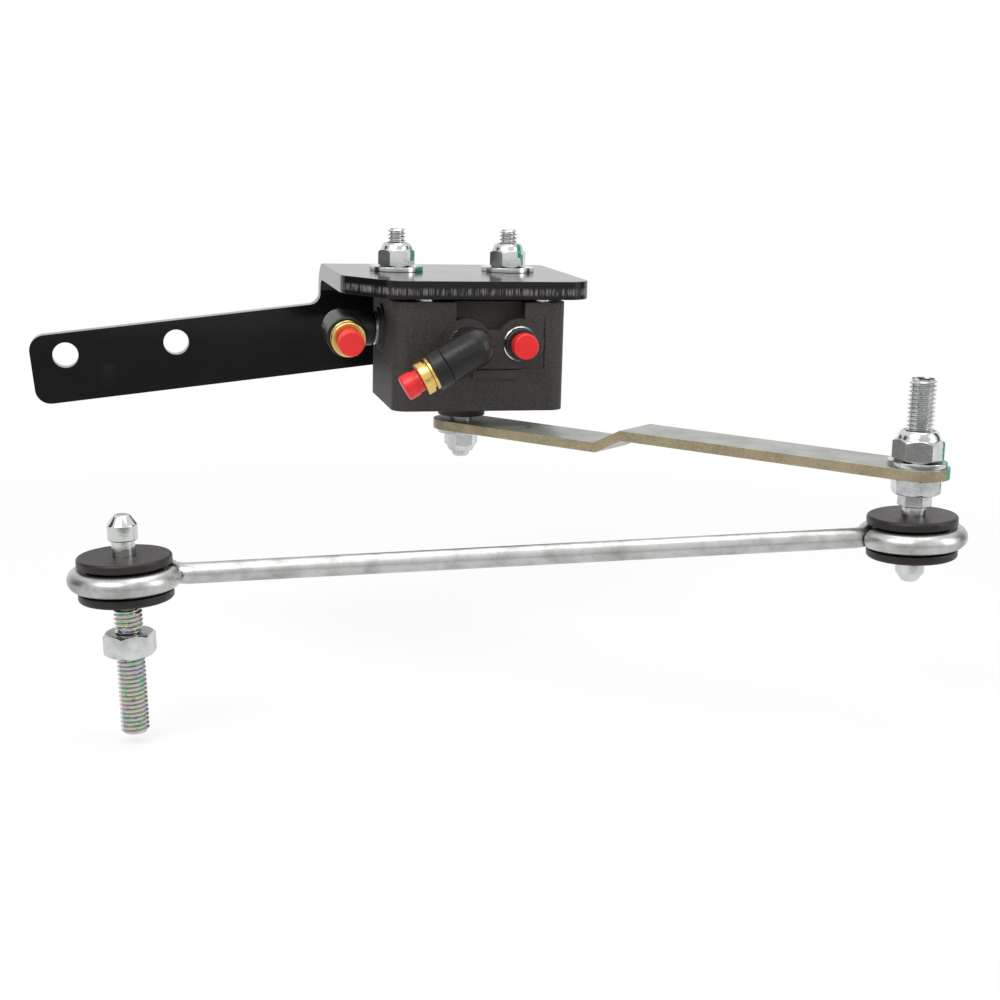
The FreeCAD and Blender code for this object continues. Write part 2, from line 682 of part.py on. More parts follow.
def valveInternals():
    node(sealRing("housing_seal_ring", "housing_seal_radius", "seal_section * 0.92"), "housing_seal",
         0, "shaft_y", "-split_depth - 0.95 * seal_section")
    stator = turned("stator_disc", [(0, 0), ("cavity_radius - fit_clear", 0),
                                    ("cavity_radius - fit_clear", "stator_thick"), (0, "stator_thick")])
    holes = [cylinder(f"stator_{angle}", "passage_radius", "stator_thick", *holeSpot(angle))
             for angle in ("left_hole_angle", "right_hole_angle", "side_hole_angle")]
    node(cut("stator", stator, holes), "port_plate", 0, "shaft_y", "-split_depth - stator_thick")
    rotor = turned("rotor_blank", [
        (0, 0), ("rotor_radius", 0), ("rotor_radius", "rotor_thick"), (0, "rotor_thick")])
    pockets = [cylinder(f"dog_hole_{side}", "dog_radius + fit_clear", "rotor_thick - 0.6", f"{side} * dog_offset")
               for side in (-1, 1)]
    pockets.append(block("rotor_groove", "2 * rotor_radius", "2 * passage_radius", "1.2", "-rotor_radius / 2",
                         "-passage_radius", "rotor_thick - 1.2"))
    turn = Rotation(Vector(0, 0, 1), number("lever_yaw"))
    node(cut("rotor", rotor, pockets), "rotor_disc", 0, "shaft_y", f"-({rotorLow})", turn)
    rim = "dog_offset - dog_radius - 0.3"
    node(turned("disc_spring", [
        (f"{rim} - 2.8", 0), (f"{rim} - 2.2", 0), (rim, "spring_space - 0.5"), (rim, "spring_space"),
        (f"{rim} - 0.6", "spring_space"), (f"{rim} - 2.8", 0.5)]), "rotor_spring", 0, "shaft_y",
        f"-({rotorLow}) - spring_space")
    bushOuter = "shaft_radius + shaft_clear + bush_wall"
    node(turned("bush_tube", [
        ("shaft_radius + shaft_clear", 0), (bushOuter, 0), (bushOuter, "bush_length"),
        ("shaft_radius + shaft_clear", "bush_length")]), "shaft_bush", 0, "shaft_y", f"-({bushBottom})")
    ring = sealRing("shaft_seal_ring", "shaft_radius + seal_section + shaft_clear", "seal_section - 0.02")
    node(ring, "shaft_seal", 0, "shaft_y", f"-({sealFloor}) + seal_section")
    screen = turned("exhaust_disc", [
        (0, 0), ("exhaust_radius - 0.05", 0), ("exhaust_radius - 0.05", 1.2), (0, 1.2)])
    node(screen, "exhaust_screen", 0, "shaft_y + exhaust_offset", "-cover_depth + 0.3")


def valveShaft():
    flangeTop = f"{rotorLow} + spring_space"
    stem = turned("shaft_stem", [
        (0, f"-({flangeTop})"), ("flange_radius", f"-({flangeTop})"),
        ("flange_radius", f"-({flangeTop}) - flange_thick"), ("shaft_radius", f"-({flangeTop}) - flange_thick"),
        ("shaft_radius", "-lever_top"), ("shaft_thread", "-lever_top"), ("shaft_thread", "-shaft_end + 0.7"),
        ("shaft_thread - 0.7", "-shaft_end"), (0, "-shaft_end")])
    dogs = [cylinder(f"dog_{side}", "dog_radius", "spring_space + rotor_thick - 1", f"{side} * dog_offset", 0,
                     f"-({flangeTop})") for side in (-1, 1)]
    flats = [block(f"shaft_flat_{side}", "2 * shaft_radius", "shaft_radius", "lever_thick", "-shaft_radius",
                   f"{side} * (flat_width / 2 + shaft_radius / 2) - shaft_radius / 2",
                   "-lever_top - lever_thick") for side in (-1, 1)]
    shaft = cut("shaft", joined("shaft_dogs", [stem] + dogs), flats)
    return nodeAt(shaft, "valve_shaft", leverPlace())


# Lever and what is clamped to it

# The lever's own directions: +X along the lever, from the shaft's axis.
def leverPlace():
    return Placement(point(0, "shaft_y", 0), Rotation(Vector(0, 0, 1), number("lever_yaw")))


def studPlace():
    return leverPlace() * Placement(point("lever_length", 0, "-lever_top + jog_rise"), Rotation())


def controlLever():
    side = slab("lever_side", "XZ_Plane", [
        ("-lever_half_width", 0), ("jog_start", 0), ("jog_end", "jog_rise"),
        ("lever_length + lever_half_width", "jog_rise"),
        ("lever_length + lever_half_width", "jog_rise - lever_thick"),
        ("jog_end + 0.6", "jog_rise - lever_thick"), ("jog_start + 0.6", "-lever_thick"),
        ("-lever_half_width", "-lever_thick")], "2 * lever_half_width")
    seat(side, 0, "lever_half_width", 0)
    middle = block("lever_middle", "lever_length", "2 * lever_half_width", "4 * jog_rise", 0, "-lever_half_width",
                   "-2 * jog_rise")
    ends = [cylinder("lever_hub_end", "lever_half_width", "4 * jog_rise", 0, 0, "-2 * jog_rise"),
            cylinder("lever_stud_end", "lever_half_width", "4 * jog_rise", "lever_length", 0, "-2 * jog_rise")]
    plan = joined("lever_plan", [middle] + ends)
    strap = doc.addObject("Part::Common", "lever_strap")
    strap.Base = side
    strap.Tool = plan
    socket = doc.addObject("Part::Common", "lever_socket")
    socket.Base = cylinder("socket_round", "shaft_thread + fit_clear / 2", "3 * lever_thick", 0, 0,
                           "-2 * lever_thick")
    socket.Tool = block("socket_flats", "3 * shaft_radius", "flat_width + fit_clear", "3 * lever_thick",
                        "-1.5 * shaft_radius", "-(flat_width + fit_clear) / 2", "-2 * lever_thick")
    holes = [socket, cylinder("lever_small_hole", "lever_hole_radius", "3 * lever_thick", "lever_hole", 0,
                              "-2 * lever_thick"),
             cylinder("lever_stud_hole", "stud_radius + bolt_clear", "4 * jog_rise", "lever_length", 0,
                      "-2 * jog_rise")]
    lever = cut("lever", strap, holes)
    nodeAt(lever, "control_lever", leverPlace() * Placement(point(0, 0, "-lever_top"), Rotation()))


def shaftFasteners():
    under = leverPlace() * Placement(point(0, 0, "-lever_top - lever_thick"), downward)
    nodeAt(washer("shaft_washer", "shaft_washer_radius", "shaft_thread + bolt_clear", "shaft_washer_thick"),
           "lever_washer", under)
    below = under * Placement(point(0, 0, "shaft_washer_thick"), Rotation(Vector(0, 0, 1), 11))
    nodeAt(lockNut("shaft_nut", "shaft_nut_across", "shaft_nut_height", "shaft_thread"), "lever_locknut", below)
    nodeAt(nylonRing("shaft_nut_ring", "shaft_nut_height", "shaft_thread"), "lever_nylon_ring", below)


# The pin snaps through the bushing: a chamfered head at its end, a collar at its root.
# Heights are measured from the middle of the eye, with the head upward.
def pinCorners(headLow, shoulder):
    top = f"{headLow} + pin_head_length"
    return [(0, top), ("pin_head_radius - pin_head_chamfer / 1.6", top),
            ("pin_head_radius", f"{top} - pin_head_chamfer"), ("pin_head_radius", f"{headLow} + 0.4"),
            ("pin_radius", headLow), ("pin_radius", shoulder), ("collar_radius", shoulder)]


def leverStud():
    shoulder = "-bushing_half - bushing_gap"
    eye = "eye_below_lever"
    hexLow = f"-{eye} + lever_thick + jam_nut_height"
    stud = turned("stud_pin", pinCorners("bushing_half + bushing_gap", shoulder) + [
        ("collar_radius", f"{hexLow} + stud_hex_height"),
        ("stud_hex_across * 0.56", f"{hexLow} + stud_hex_height"), ("stud_hex_across * 0.56", hexLow),
        ("stud_radius", hexLow), ("stud_radius", f"-{eye} - stud_above_lever + 0.9"),
        ("stud_radius - 0.9", f"-{eye} - stud_above_lever"), (0, f"-{eye} - stud_above_lever")])
    corners = doc.addObject("Part::Prism", "stud_hexagon")
    corners.Polygon = 6
    corners.setExpression("Circumradius", bound("stud_hex_across / 2 / cos(30)"))
    corners.setExpression("Height", bound("stud_hex_height"))
    around = cut("stud_trim", cylinder("stud_trim_round", "stud_hex_across", "stud_hex_height"), [corners])
    seat(around, 0, 0, hexLow)
    place = studPlace() * Placement(point(0, 0, f"-{eye}"), downward)
    nodeAt(cut("stud", stud, [around]), "lever_stud", place)


def studFasteners():
    top = studPlace()
    nodeAt(washer("stud_washer_ring", "stud_washer_radius", "stud_radius + bolt_clear", "stud_washer_thick"),
           "stud_washer", top)
    over = top * Placement(point(0, 0, "stud_washer_thick"), Rotation(Vector(0, 0, 1), 25))
    nodeAt(lockNut("stud_nut", "stud_nut_across", "stud_nut_height", "stud_radius"), "stud_locknut", over)
    nodeAt(nylonRing("stud_nut_ring", "stud_nut_height", "stud_radius"), "stud_nylon_ring", over)
    under = top * Placement(point(0, 0, "-lever_thick - jam_nut_height"), Rotation(Vector(0, 0, 1), 5))
    nodeAt(plainNut("stud_jam", "stud_nut_across", "jam_nut_height", "stud_radius"), "stud_jam_nut", under)


# Link

# The link's own directions: +X from the lever's eye to the other eye.
def linkPlace():
    base = studPlace() * Placement(point(0, 0, "-eye_below_lever"), Rotation())
    turn = Rotation(Vector(0, 0, 1), number("link_yaw")) * Rotation(Vector(0, 1, 0), number("link_slope"))
    return Placement(base.Base, turn)


# A stretch of the rod bent round a centre, from one angle to another.
def bentRod(centre, radius, start, finish):
    rod = number("rod_radius")
    here = centre + Vector(radius * math.cos(math.radians(start)), radius * math.sin(math.radians(start)), 0)
    along = Vector(-math.sin(math.radians(start)), math.cos(math.radians(start)), 0)
    face = Part.Face(Part.Wire(Part.makeCircle(rod, here, along)))
    return face.revolve(centre, Vector(0, 0, 1), finish - start)


# The rod runs straight between two small bends, and each end is bent round to an eye
# whose end closes against the rod at the front.
def linkRod():
    eye, bend = number("eye_radius"), number("eye_bend")
    length = number("link_length")
    setback = math.sqrt(eye ** 2 + 2 * eye * bend)
    meet = math.degrees(math.atan2(bend, setback))
    gap = number("eye_gap_angle")
    far = Vector(length, 0, 0)
    straight = Part.makeCylinder(number("rod_radius"), length - 2 * setback, Vector(setback, 0, 0),
                                 Vector(1, 0, 0))
    pieces = [
        bentRod(Vector(0, 0, 0), eye, gap, 360 - meet),
        bentRod(Vector(setback, -bend, 0), bend, 90, 180 - meet),
        bentRod(far - Vector(setback, bend, 0), bend, meet, 90),
        bentRod(far, eye, 180 + meet, 540 - gap),
    ]
    rod = doc.addObject("Part::Feature", "rod")
    rod.Shape = straight.multiFuse(pieces)
    return nodeAt(rod, "link_rod", linkPlace())


# A rubber spool that fills the eye, with a thick rim over and under the rod.
def bushing(name, low, high, bore):
    core = "eye_radius - rod_radius - groove_clear"
    groove = "rod_radius + groove_clear"
    return turned(name, [
        (bore, low), ("bushing_radius - 0.5", low), ("bushing_radius", f"{low} + 0.5"),
        ("bushing_radius", f"{low} + bushing_rim"), (core, f"-({groove})"), (core, groove),
        ("bushing_radius", f"{high} - bushing_rim"), ("bushing_radius", f"{high} - 0.5"),
        ("bushing_radius - 0.5", high), (bore, high)])


def bushings():
    blank = bushing("lever_bushing_blank", "-bushing_half", "bushing_half", "0.5")
    upright = Rotation(Vector(0, 1, 0), -number("link_slope"))
    bore = cylinder("lever_bushing_bore", "pin_radius + shaft_clear", "4 * bushing_half",
                    "2 * bushing_half * sin(link_slope)", 0, "-2 * bushing_half * cos(link_slope)", upright)
    nodeAt(cut("lever_spool", blank, [bore]), "lever_bushing", linkPlace())
    far = linkPlace() * Placement(point("link_length", 0, 0), Rotation())
    spool = bushing("axle_spool", "-bushing_half", "bushing_half", "pin_radius + shaft_clear")
    nodeAt(spool, "axle_bushing", far)


# The stud that is bolted to the axle points down from the far eye. Inside its nut, and
# above it, the thread is drawn at its core, so the free thread below stands apart.
def axleStud():
    shoulder = "-bushing_half - bushing_gap"
    stud = turned("axle_pin", pinCorners("bushing_half + axle_pin_free", shoulder) + [
        ("collar_radius", f"{shoulder} - axle_collar"), ("nut_core_radius", f"{shoulder} - axle_collar"),
        ("nut_core_radius", "-axle_nut_low - 0.5"), ("stud_radius", "-axle_nut_low - 0.5"),
        ("stud_radius", "-axle_thread_end + 1"), ("stud_radius - 1", "-axle_thread_end"),
        (0, "-axle_thread_end")])
    far = linkPlace() * Placement(point("link_length", 0, 0), Rotation())
    nodeAt(stud, "axle_stud", far)
    nut = plainNut("axle_nut_blank", "stud_nut_across", "axle_nut_height", "nut_core_radius")
    nodeAt(nut, "axle_nut", far * Placement(point(0, 0, "-axle_nut_low"), Rotation(Vector(0, 0, 1), 16)))


# Air ports, each turned so that its own +Z points out of the port

def frontPort(x):
    return Placement(point(x, "-body_front - front_boss_proud", "-port_depth"), toFront)


def sidePort():
    return Placement(point("-body_left - side_boss_proud", "-side_port_y", "-side_port_depth"), toLeft)


# A metal insert pressed into the housing, flush inside and a little proud outside.
def portInsert(name):
    deep = "-insert_length + insert_proud"
    return turned(name, [
        ("insert_bore", f"{deep} + 2"), ("insert_bore - 1.4", f"{deep} + 2"), ("insert_bore - 1.4", deep),
        ("insert_radius", deep), ("insert_radius", "insert_proud - 0.3"),
        ("insert_radius - 0.3", "insert_proud"), ("insert_bore", "insert_proud")])


# The release ring that is pushed in to free the tube.
def collet(name, face, radius, thick):
    rim = f"{face} + collet_travel"
    return turned(name, [
        ("tube_radius + fit_clear", f"{face} - 4"), ("collet_radius", f"{face} - 4"), ("collet_radius", rim),
        (radius, rim), (radius, f"{rim} + {thick} - 0.3"), (f"{radius} - 0.3", f"{rim} + {thick}"),
        ("tube_radius + fit_clear", f"{rim} + {thick}")])


# The shipping plug: a stem as thick as the tube, a neck and a round head.
def plug(name, face, depth, thick):
    low = f"{face} + collet_travel + {thick} + 0.1"
    end = f"{face} - ({depth})"
    head = f"{low} + plug_neck_length"
    return turned(name, [
        (0, end), ("tube_radius - 0.4", end), ("tube_radius", f"{end} + 0.6"), ("tube_radius", low),
        ("plug_neck", low), ("plug_neck", head), ("plug_head", head),
        ("plug_head", f"{head} + plug_head_length - 0.4"), ("plug_head - 0.4", f"{head} + plug_head_length"),
        (0, f"{head} + plug_head_length")])


# The rubber ring that seals round a tube or a stem.
def portSeal(name, inner):
    return sealRing(name, f"{inner} + port_seal_section", "port_seal_section - 0.02")


# An elbow: +Z goes out of the port along the stem, and its arm runs along +X. The arm
# ends in a dome behind the stem, with a wedge under it whose ridge runs along the arm.
def elbowBody(name):
    groove = "elbow_stem - 2 * port_seal_section + 0.1"
    stem = turned(name + "_stem", [
        (0, "-stem_length"), ("elbow_stem", "-stem_length"), ("elbow_stem", "-stem_length + 0.9"),
        (groove, "-stem_length + 0.9"), (groove, "-stem_length + 2.6"), ("elbow_stem", "-stem_length + 2.6"),
        ("elbow_stem", "insert_proud + 0.6"), ("elbow_head", "insert_proud + 0.6"),
        ("elbow_head", "elbow_reach"), (0, "elbow_reach")])
    along = Rotation(Vector(0, 0, 1), Vector(1, 0, 0))
    arm = turned(name + "_arm", [
        (0, "-elbow_barrel"), ("elbow_barrel * 0.45", "-elbow_barrel * 0.93"),
        ("elbow_barrel * 0.75", "-elbow_barrel * 0.72"), ("elbow_barrel * 0.94", "-elbow_barrel * 0.4"),
        ("elbow_barrel", 0), ("elbow_barrel", "elbow_sleeve_start - 0.5"),
        ("elbow_barrel - 0.3", "elbow_sleeve_start - 0.2"), ("elbow_sleeve - 0.3", "elbow_sleeve_start - 0.2"),
        ("elbow_sleeve", "elbow_sleeve_start + 0.1"), ("elbow_sleeve", "elbow_sleeve_end - 0.4"),
        ("elbow_sleeve - 0.4", "elbow_sleeve_end"), (0, "elbow_sleeve_end")])
    seat(arm, 0, 0, "elbow_reach", along)
    wedge = slab(name + "_wedge", "XZ_Plane", [
        ("-elbow_barrel * 0.95", "0"), ("elbow_barrel * 0.9", "0"), ("elbow_barrel * 0.9", "elbow_barrel * 1.02"),
        ("-elbow_barrel * 0.1", "elbow_barrel * 1.02")], "1.6")
    seat(wedge, 0, 0.8, "elbow_reach")
    wide, deep = "tube_radius + 2 * port_seal_section", "elbow_sleeve_end + cartridge_proud - plug_depth - 1"
    bores = [
        cylinder(name + "_stem_bore", "passage_radius", "elbow_reach + stem_length", 0, 0, "-stem_length"),
        seat(turned(name + "_arm_bore", [
            (0, 0), ("passage_radius", 0), ("passage_radius", deep), ("tube_radius + fit_clear", deep),
            ("tube_radius + fit_clear", "elbow_sleeve_end - 7"), (wide, "elbow_sleeve_end - 7"),
            (wide, "elbow_sleeve_end - 5"), ("cartridge_radius", "elbow_sleeve_end - 5"),
            ("cartridge_radius", "elbow_sleeve_end"), (0, "elbow_sleeve_end")]), 0, 0, "elbow_reach", along),
    ]
    return cut(name, joined(name + "_solid", [stem, arm, wedge]), bores)


def cartridge(name):
    return turned(name, [
        ("collet_radius + fit_clear", "elbow_sleeve_end - 5"), ("cartridge_radius", "elbow_sleeve_end - 5"),
        ("cartridge_radius", "elbow_sleeve_end + cartridge_proud - 0.4"),
        ("cartridge_radius - 0.4", "elbow_sleeve_end + cartridge_proud"),
        ("collet_radius + fit_clear", "elbow_sleeve_end + cartridge_proud")])


# An elbow turned about its stem, with the ring, release ring and plug in its arm.
def elbow(name, port, turn):
    place = port * Placement(Vector(), Rotation(Vector(0, 0, 1), turn))
    arm = place * Placement(point(0, 0, "elbow_reach"), Rotation(Vector(0, 0, 1), Vector(1, 0, 0)))
    nodeAt(elbowBody(name + "_body"), name, place)
    nodeAt(cartridge(name + "_ring"), name + "_cartridge", arm)
    face = "elbow_sleeve_end + cartridge_proud"
    nodeAt(collet(name + "_release", face, "elbow_collet_rim", "elbow_collet_thick"), name + "_collet", arm)
    nodeAt(plug(name + "_stopper", face, "plug_depth", "elbow_collet_thick"), name + "_plug", arm)
    nodeAt(portSeal(name + "_tube_ring", "tube_radius"), name + "_tube_seal",
           arm * Placement(point(0, 0, "elbow_sleeve_end - 6"), Rotation()))
    nodeAt(portSeal(name + "_stem_ring", "elbow_stem - 2 * port_seal_section + 0.1"), name + "_stem_seal",
           place * Placement(point(0, 0, "-stem_length + 1.75"), Rotation()))


def airPorts():
    left, right = frontPort("left_port_x"), frontPort("right_port_x")
    nodeAt(portInsert("left_insert"), "front_elbow_insert", left)
    nodeAt(portInsert("right_insert"), "right_port_insert", right)
    nodeAt(portInsert("side_insert"), "side_elbow_insert", sidePort())
    release = collet("right_release", "insert_proud", "collet_rim", "collet_rim_thick")
    nodeAt(release, "right_port_collet", right)
    stopper = plug("right_stopper", "insert_proud", "insert_length - 3", "collet_rim_thick")
    nodeAt(stopper, "right_port_plug", right)
    nodeAt(portSeal("right_tube_ring", "tube_radius"), "right_port_seal",
           right * Placement(point(0, 0, "insert_proud - insert_length + 2 + port_seal_section"), Rotation()))
    elbow("front_elbow", left, 180 + number("front_elbow_drop"))
    elbow("side_elbow", sidePort(), -90 - number("side_elbow_drop"))


# Checks every object and writes the nodes.
def writeNodes():
    doc.recompute()
    failed = [item.Name for item in doc.Objects if "Invalid" in item.State or "Error" in item.State]
    for item in nodes:
        if item.Shape.isNull() or not item.Shape.isValid() or not item.Shape.Solids:
            failed.append(item.Label)
    if failed:
        raise RuntimeError("these objects failed: " + ", ".join(failed))
    os.makedirs("parts", exist_ok=True)
    for item in nodes:
        item.Shape.exportStep(f"parts/{item.Label}.step")
    print(len(nodes), "nodes written")


mountingBracket()
plateFasteners()
valveBody()
lowerHousing()
housingScrews()
valveInternals()
valveShaft()
controlLever()
shaftFasteners()
leverStud()
studFasteners()
linkRod()
bushings()
axleStud()
airPorts()
writeNodes()
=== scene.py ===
import bpy
import bmesh
import json
import math
from mathutils import Matrix, Vector


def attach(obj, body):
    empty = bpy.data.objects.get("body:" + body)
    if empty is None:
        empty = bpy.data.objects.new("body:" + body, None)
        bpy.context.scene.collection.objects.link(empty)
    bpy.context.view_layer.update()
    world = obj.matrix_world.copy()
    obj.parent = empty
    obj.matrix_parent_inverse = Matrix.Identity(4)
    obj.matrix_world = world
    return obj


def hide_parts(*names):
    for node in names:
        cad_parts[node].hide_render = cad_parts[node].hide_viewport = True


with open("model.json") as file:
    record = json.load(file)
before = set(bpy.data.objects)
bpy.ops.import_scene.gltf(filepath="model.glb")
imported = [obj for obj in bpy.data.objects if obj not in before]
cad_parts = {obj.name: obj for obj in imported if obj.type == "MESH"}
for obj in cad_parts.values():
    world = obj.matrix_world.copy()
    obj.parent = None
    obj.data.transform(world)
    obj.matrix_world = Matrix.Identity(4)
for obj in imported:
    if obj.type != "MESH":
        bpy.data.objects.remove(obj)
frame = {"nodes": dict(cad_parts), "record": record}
nodes = frame["nodes"]
bodies = frame["record"]["behaviour"]["bodies"]
bodyOf = {node: body for body, names in bodies.items() for node in names}
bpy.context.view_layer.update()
mm = 0.001


class Wire:
    def __init__(self, look, socket):
        self.look, self.socket = look, socket

    def maths(self, operation, a, b):
        return self.look.add("ShaderNodeMath", {"operation": operation}, {0: a, 1: b})

    def __add__(self, other):
        return self.maths("ADD", self, other)

    def __sub__(self, other):
        return self.maths("SUBTRACT", self, other)

    def __rsub__(self, other):
        return self.maths("SUBTRACT", other, self)

    def __mul__(self, other):
        return self.maths("MULTIPLY", self, other)

    def __rmul__(self, other):
        return self.maths("MULTIPLY", other, self)

    def __lt__(self, other):
        return self.maths("LESS_THAN", self, other)

    def __abs__(self):
        return self.maths("ABSOLUTE", self, 0)

    def clamped(self):
        return self.look.add("ShaderNodeClamp", {}, {0: self})

    def step(self, low, high):  # 0 below low, 1 above high
        return self.look.add("ShaderNodeMapRange", {"interpolation_type": "SMOOTHSTEP"},
                             {"Value": self, "From Min": low, "From Max": high})


# The nodes of one material, or of the world.
class Look:
    def __init__(self, name, world=None, **settings):
        self.material = world or bpy.data.materials.new(name)
        self.material.use_nodes = True
        self.tree = self.material.node_tree
        self.shader = self.tree.nodes["Background" if world else "Principled BSDF"]
        for socket, value in settings.items():
            self.shader.inputs[socket.replace("_", " ")].default_value = value
        self.place = self.add("ShaderNodeTexCoord", output="Generated" if world else "Object")

    # one node: its settings first, then the values or links of its sockets
    def add(self, kind, settings=None, inputs=None, output=0):
        node = self.tree.nodes.new(kind)
        for name, value in (settings or {}).items():
            if name == "stops":
                for stop, (at, colour) in zip(self.stopsFor(node, len(value)), value):
                    stop.position, stop.color = at, colour
            else:
                setattr(node, name, value)
        for name, value in (inputs or {}).items():
            if isinstance(value, Wire):
                self.tree.links.new(value.socket, node.inputs[name])
            else:
                node.inputs[name].default_value = value
        return Wire(self, node.outputs[output])

    def stopsFor(self, node, count):
        while len(node.color_ramp.elements) < count:
            node.color_ramp.elements.new(0.5)
        return node.color_ramp.elements

    def noise(self, scale, detail=3.0, roughness=0.55, place=None):
        return self.add("ShaderNodeTexNoise", {}, {"Vector": place or self.place, "Scale": scale,
                                                   "Detail": detail, "Roughness": roughness})

    def stretched(self, scale):
        return self.add("ShaderNodeMapping", {"vector_type": "POINT"}, {"Vector": self.place, "Scale": scale})

    def ramp(self, value, stops):
        return self.add("ShaderNodeValToRGB", {"stops": stops}, {0: value})

    def mixed(self, factor, a, b):
        node = self.tree.nodes.new("ShaderNodeMix")
        node.data_type = "RGBA"
        for socket, value in ((node.inputs[0], factor), (node.inputs[6], a), (node.inputs[7], b)):
            if isinstance(value, Wire):
                self.tree.links.new(value.socket, socket)
            else:
                socket.default_value = value
        return Wire(self, node.outputs[2])

    def axis(self, letter):
        return self.add("ShaderNodeSeparateXYZ", {}, {0: self.place}, letter)

    def facing(self, letter):  # the surface's own direction
        normal = self.add("ShaderNodeTexCoord", output="Normal")
        return self.add("ShaderNodeSeparateXYZ", {}, {0: normal}, letter)

    def bump(self, height, strength, depth):
        normal = self.add("ShaderNodeBump", {}, {"Height": height, "Strength": strength, "Distance": depth})
        self.into("Normal", normal)

    def into(self, name, wire):
        self.tree.links.new(wire.socket, self.shader.inputs[name])


def grey(value):
    return (value, value, value, 1)


# The streak colour is a painted highlight on the sheared front edge.
bracketFinish = {"colour": (0.0035, 0.0035, 0.004, 1), "dust": (0.02, 0.02, 0.021, 1), "rough": 0.13,
                 "streaks_and_highlight": (0.2, 0.175, 0.172, 1), "edge height": 0.0276}


# Gloss black coat. Along the sheared front edge, short upright streaks are rougher and bumped, and in one band along
# that edge they are painted lighter: a painted highlight.
def bracketCoat():
    look = Look("gloss_black_coat", Specular_IOR_Level=0.22, Coat_Roughness=0.06, Coat_IOR=1.35)
    cloud = look.noise(38, 4)
    specks = look.noise(900, 2)
    combed = look.noise(1.0, 4, 0.7, look.stretched((1500, 900, 130)))
    edge = abs(look.facing("Z")).step(0.7, 0.3) * (look.axis("Y") < -0.06)
    # The band of the front edge that carries the painted highlight.
    highlight_band = abs(look.axis("Z") - bracketFinish["edge height"]).step(0.0016, 0.0004)
    streaks_and_highlight = (edge * highlight_band * combed.step(0.42, 0.62)).clamped()
    plain = look.mixed(specks.step(0.68, 0.76) * 0.4, bracketFinish["colour"], bracketFinish["dust"])
    # Painted highlight: light streaks in that band of the front edge.
    look.into("Base Color", look.mixed(streaks_and_highlight, plain, bracketFinish["streaks_and_highlight"]))
    look.into("Roughness", cloud * 0.1 + streaks_and_highlight * 0.2 + bracketFinish["rough"])
    look.into("Coat Weight", cloud.step(0.3, 0.7) * 0.2 + 0.1)
    look.bump(look.noise(260, 3) * 0.6 + combed * edge * 1.6, 0.1, 0.0004)
    return look.material


mouldingFinish = {"colour": (0.017, 0.0145, 0.0135, 1), "pale": (0.052, 0.044, 0.04, 1), "rough": 0.52}


def valveMoulding():
    look = Look("grained_moulding", Specular_IOR_Level=0.42)
    grain = look.noise(1900, 3)
    cloud = look.noise(90, 4)
    look.into("Base Color", look.mixed((grain.step(0.38, 0.72) * 0.75 + cloud * 0.25).clamped(),
                                       mouldingFinish["colour"], mouldingFinish["pale"]))
    look.into("Roughness", grain * 0.22 + mouldingFinish["rough"] - 0.08)
    look.bump(grain * 0.6 + look.noise(700, 2) * 0.4, 0.7, 0.0004)
    return look.material


zincFinish = {"bright": (0.64, 0.65, 0.655, 1), "dull": (0.4, 0.405, 0.4, 1), "rod": (0.52, 0.525, 0.515, 1),
              "rod dull": (0.3, 0.302, 0.292, 1), "rod rough": 0.25, "paint": (0.004, 0.27, 0.14, 1),
              "paint rough": 0.42, "ragged": 0.0014}

# The green torque paint: centre and half size of the box that each mark fills, in metres.
paintMarks = {
    "bolts": [((0.0985, -0.0425, 0.0372), (0.0011, 0.004, 0.0026)),
              ((0.1008, -0.044, 0.0318), (0.0012, 0.004, 0.0012)),
              ((0.1358, -0.0445, 0.0385), (0.0008, 0.003, 0.0022)),
              ((0.137, -0.0445, 0.0352), (0.0007, 0.003, 0.002))],
    "stud": [((0.2296, -0.1875, -0.0085), (0.0009, 0.005, 0.0045)),
             ((0.2293, -0.1875, -0.0185), (0.0012, 0.006, 0.0018))],
    "lever": [((0.2305, -0.1895, -0.0142), (0.002, 0.004, 0.002))]}


def brightZinc(name, marks=(), bright=zincFinish["bright"], dull=zincFinish["dull"], rough=0.1):
    look = Look(name)
    cloud = look.noise(120, 5, 0.65)
    fine = look.noise(1400, 3)
    metal = look.mixed(cloud.step(0.35, 0.75), bright, dull)
    paint = paintMask(look, marks)
    if paint:
        metal = look.mixed(paint, metal, zincFinish["paint"])
        look.into("Metallic", 1 - paint)
        look.into("Roughness", (cloud * 0.16 + rough) * (1 - paint) + paint * zincFinish["paint rough"])
    else:
        look.shader.inputs["Metallic"].default_value = 1
        look.into("Roughness", cloud * 0.16 + fine * 0.1 + rough - 0.03)
    look.into("Base Color", metal)
    look.bump(fine * 0.6 + cloud * 0.4, 0.12, 0.0003)
    return look.material


def paintMask(look, marks):
    whole = None
    ragged = (look.noise(700, 3) - 0.5) * zincFinish["ragged"]
    for centre, half in marks:
        inside = None
        for letter, at, size in zip("XYZ", centre, half):
            side = (abs(look.axis(letter) - at) + ragged) < size
            inside = side if inside is None else inside * side
        whole = inside if whole is None else inside.maths("MAXIMUM", whole, inside)
    return whole


leverFinish = {"face": (0.36, 0.365, 0.335, 1), "dark": (0.27, 0.272, 0.245, 1), "edge": (0.43, 0.37, 0.24, 1),
               "edge dark": (0.22, 0.185, 0.115, 1)}


def leverZinc(marks):
    look = Look("dull_lever_zinc", Metallic=0.72)
    cloud = look.noise(85, 5, 0.6)
    grain = look.noise(1700, 3)
    face = look.mixed(cloud.step(0.35, 0.7), leverFinish["face"], leverFinish["dark"])
    side = abs(look.facing("Z")).step(0.85, 0.45)
    edge = look.mixed((grain * 0.5 + cloud * 0.5).step(0.3, 0.75), leverFinish["edge"], leverFinish["edge dark"])
    paint = paintMask(look, marks)
    look.into("Base Color", look.mixed(paint, look.mixed(side, face, edge), zincFinish["paint"]))
    look.into("Metallic", 0.7 * (1 - paint))
    look.into("Roughness", cloud * 0.15 + grain * 0.12 + 0.27)
    look.bump(grain * 0.7 + cloud * 0.3, 0.22, 0.0004)
    return look.material


